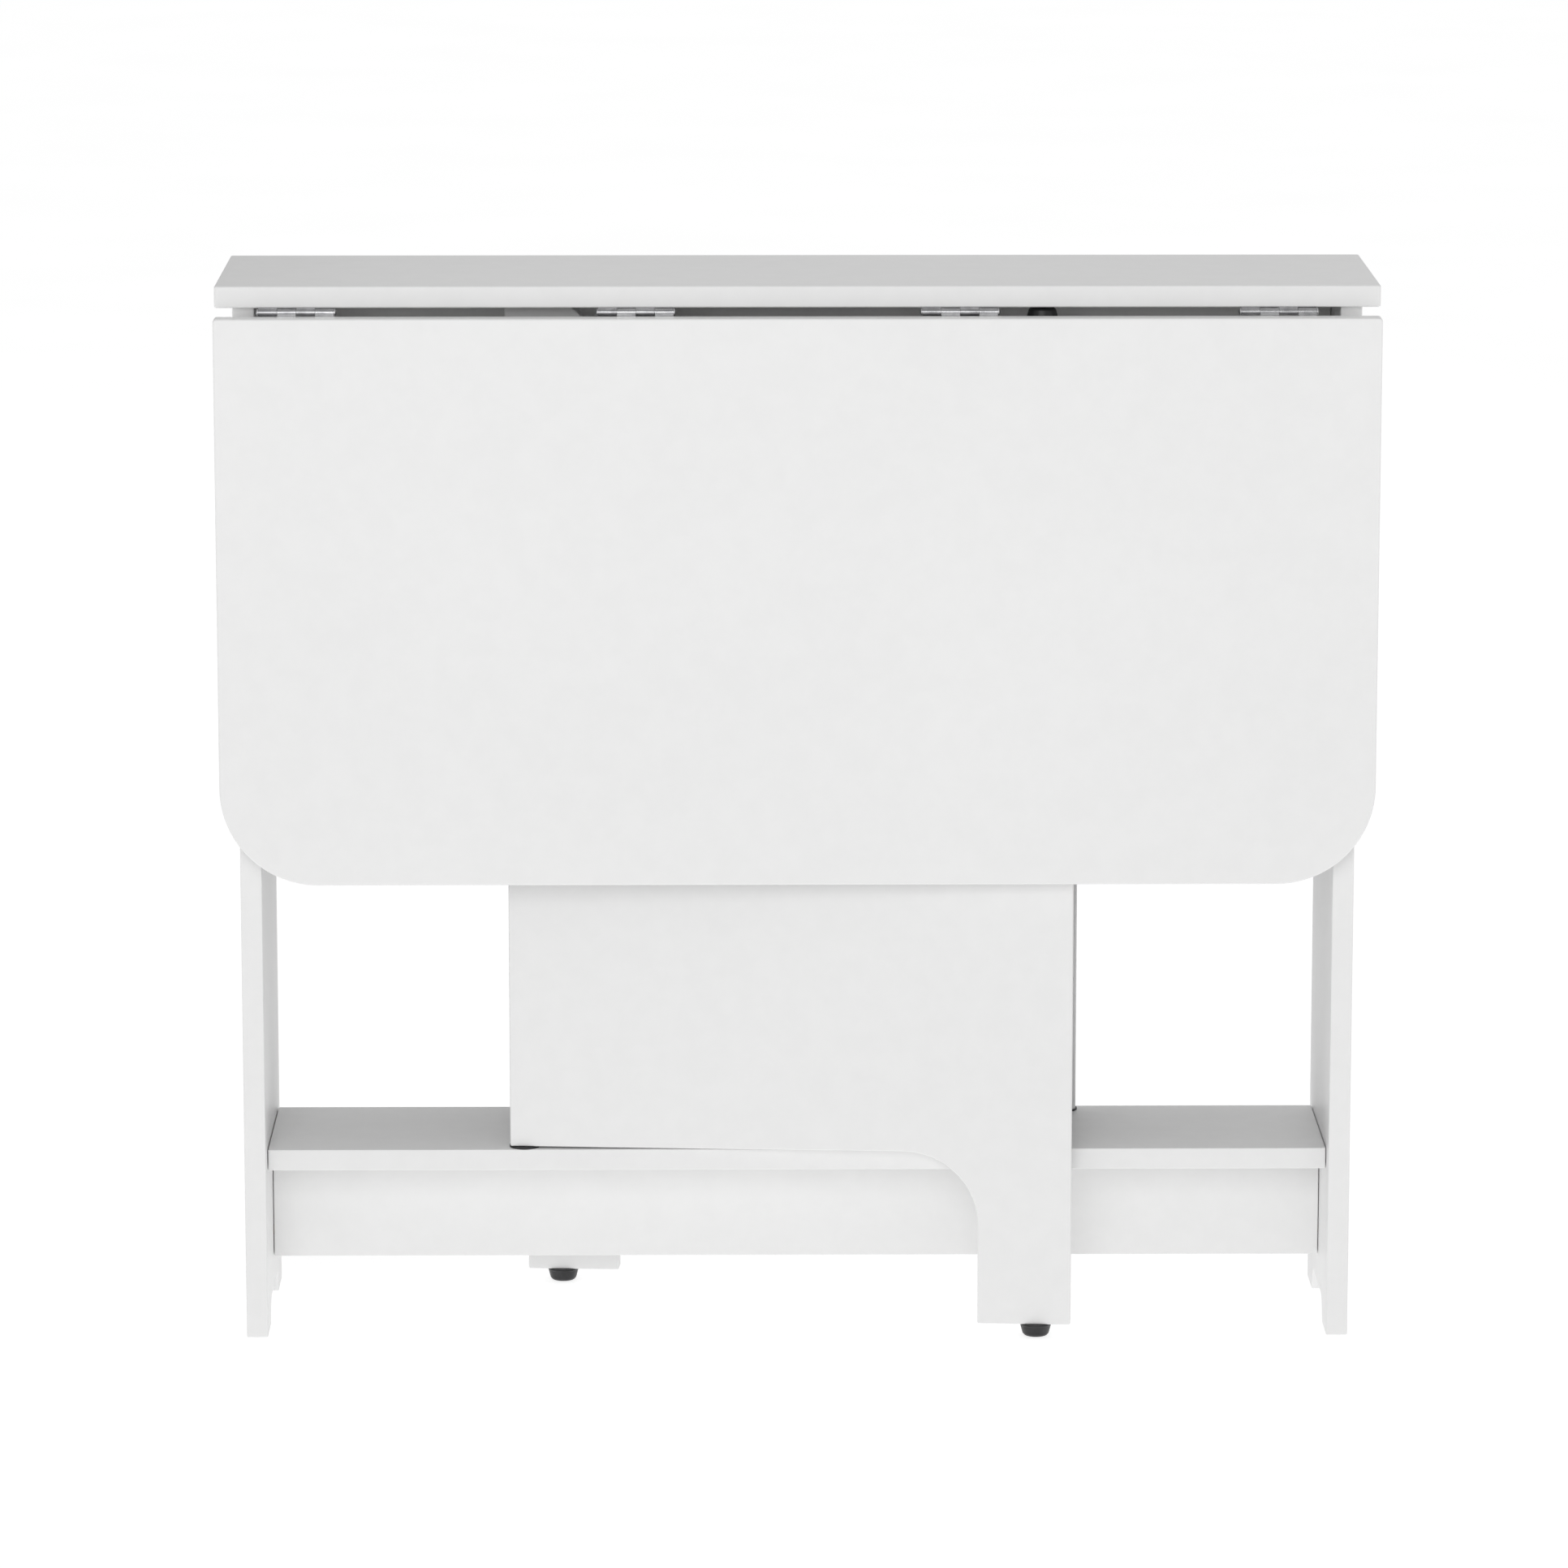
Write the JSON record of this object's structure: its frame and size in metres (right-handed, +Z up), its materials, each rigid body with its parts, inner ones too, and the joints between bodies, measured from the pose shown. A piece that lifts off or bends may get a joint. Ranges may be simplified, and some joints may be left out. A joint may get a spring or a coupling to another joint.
{
  "type": "gateleg table",
  "caption": "Folded drop-leaf table: narrow fixed top on end panels with a low shelf, a leaf hanging on each long side and a swinging board gate with one leg behind each leaf.",
  "frame": {"origin": "on the floor, in the middle of the table", "axes": "+Z up, +X along the long side to the right, -Y towards the front leaf"},
  "size_m": [0.8, 0.216, 0.746],
  "materials": {
    "white_board": "satin white lacquer over board",
    "hinge_steel": "zinc plated, rolled steel",
    "screw_steel": "zinc plated screw",
    "black_glide": "moulded black plastic",
    "pivot_steel": "turned steel pin",
    "dowel_beech": "fluted beech",
    "white_cover": "white push-in cover",
    "cam_zinc": "die-cast zinc"
  },
  "bodies": {
    "frame": {"fixed_top": "white_board", "left_end_panel": "white_board", "right_end_panel": "white_board", "lower_shelf": "white_board", "shelf_stretcher": "white_board", "upper_rail": "white_board", "gate_pivot_pins": "pivot_steel", "gate_pivot_washers": "black_glide", "front_hinge_top_plates": "hinge_steel", "front_hinge_pins": "hinge_steel", "front_hinge_top_screws": "screw_steel", "rear_hinge_top_plates": "hinge_steel", "rear_hinge_pins": "hinge_steel", "rear_hinge_top_screws": "screw_steel", "wooden_dowels": "dowel_beech", "connector_screws": "screw_steel", "screw_covers": "white_cover", "cam_bolts": "screw_steel", "cam_discs": "cam_zinc"},
    "front_leaf_body": {"front_leaf": "white_board", "front_hinge_leaf_plates": "hinge_steel", "front_hinge_leaf_screws": "screw_steel"},
    "rear_leaf_body": {"rear_leaf": "white_board", "rear_hinge_leaf_plates": "hinge_steel", "rear_hinge_leaf_screws": "screw_steel"},
    "front_gate_body": {"front_gate": "white_board", "front_gate_foot": "black_glide", "front_gate_pad": "black_glide"},
    "rear_gate_body": {"rear_gate": "white_board", "rear_gate_foot": "black_glide", "rear_gate_pad": "black_glide"}
  },
  "joints": [
    {"name": "front_leaf_fold", "type": "hinge", "parent": "frame", "child": "front_leaf_body", "pos_m": [0, -0.09, 0.728], "axis": [-1, 0, 0], "range_deg": [0, 90]},
    {"name": "rear_leaf_fold", "type": "hinge", "parent": "frame", "child": "rear_leaf_body", "pos_m": [0, 0.09, 0.728], "axis": [1, 0, 0], "range_deg": [0, 90]},
    {"name": "front_gate_swing", "type": "hinge", "parent": "frame", "child": "front_gate_body", "pos_m": [-0.192, -0.0546, 0.4], "axis": [0, 0, -1], "range_deg": [0, 0.45]},
    {"name": "rear_gate_swing", "type": "hinge", "parent": "frame", "child": "rear_gate_body", "pos_m": [0.192, 0.0546, 0.4], "axis": [0, 0, -1], "range_deg": [0, 0.45]}
  ]
}
